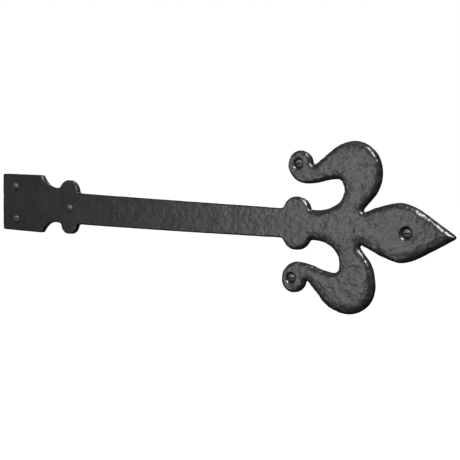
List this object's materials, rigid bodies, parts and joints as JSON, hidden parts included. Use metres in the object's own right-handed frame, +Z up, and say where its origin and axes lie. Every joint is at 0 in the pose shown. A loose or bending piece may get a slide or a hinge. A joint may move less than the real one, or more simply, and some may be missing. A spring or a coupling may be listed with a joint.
{
  "type": "strap hinge front",
  "caption": "Decorative hammered cast-iron strap hinge front with a fleur-de-lis end, screwed flat to a door with slotted round-head wood screws.",
  "frame": {"origin": "on the casting's flat back, in the middle of its square end", "axes": "+X along the strap to the tip of the middle leaf, +Y out of the back into the door, +Z up"},
  "size_m": [0.4554, 0.0297, 0.1313],
  "materials": {
    "black_iron": "satin black powder coat over hammered cast iron",
    "black_screw": "black japanned steel"
  },
  "bodies": {
    "casting": {"strap_casting": "black_iron"},
    "plate_screw_upper": {"plate_screw_upper": "black_screw"},
    "plate_screw_lower": {"plate_screw_lower": "black_screw"},
    "collar_screw": {"collar_screw": "black_screw"},
    "scroll_screw_upper": {"scroll_screw_upper": "black_screw"},
    "scroll_screw_lower": {"scroll_screw_lower": "black_screw"},
    "leaf_screw": {"leaf_screw": "black_screw"}
  },
  "joints": [
    {"name": "plate_screw_upper_withdraw", "type": "slide", "parent": "casting", "child": "plate_screw_upper", "axis": [0, -1, 0], "range_m": [0, 0.0256]},
    {"name": "plate_screw_lower_withdraw", "type": "slide", "parent": "casting", "child": "plate_screw_lower", "axis": [0, -1, 0], "range_m": [0, 0.0256]},
    {"name": "collar_screw_withdraw", "type": "slide", "parent": "casting", "child": "collar_screw", "axis": [0, -1, 0], "range_m": [0, 0.0256]},
    {"name": "scroll_screw_upper_withdraw", "type": "slide", "parent": "casting", "child": "scroll_screw_upper", "axis": [0, -1, 0], "range_m": [0, 0.028]},
    {"name": "scroll_screw_lower_withdraw", "type": "slide", "parent": "casting", "child": "scroll_screw_lower", "axis": [0, -1, 0], "range_m": [0, 0.028]},
    {"name": "leaf_screw_withdraw", "type": "slide", "parent": "casting", "child": "leaf_screw", "axis": [0, -1, 0], "range_m": [0, 0.028]}
  ]
}
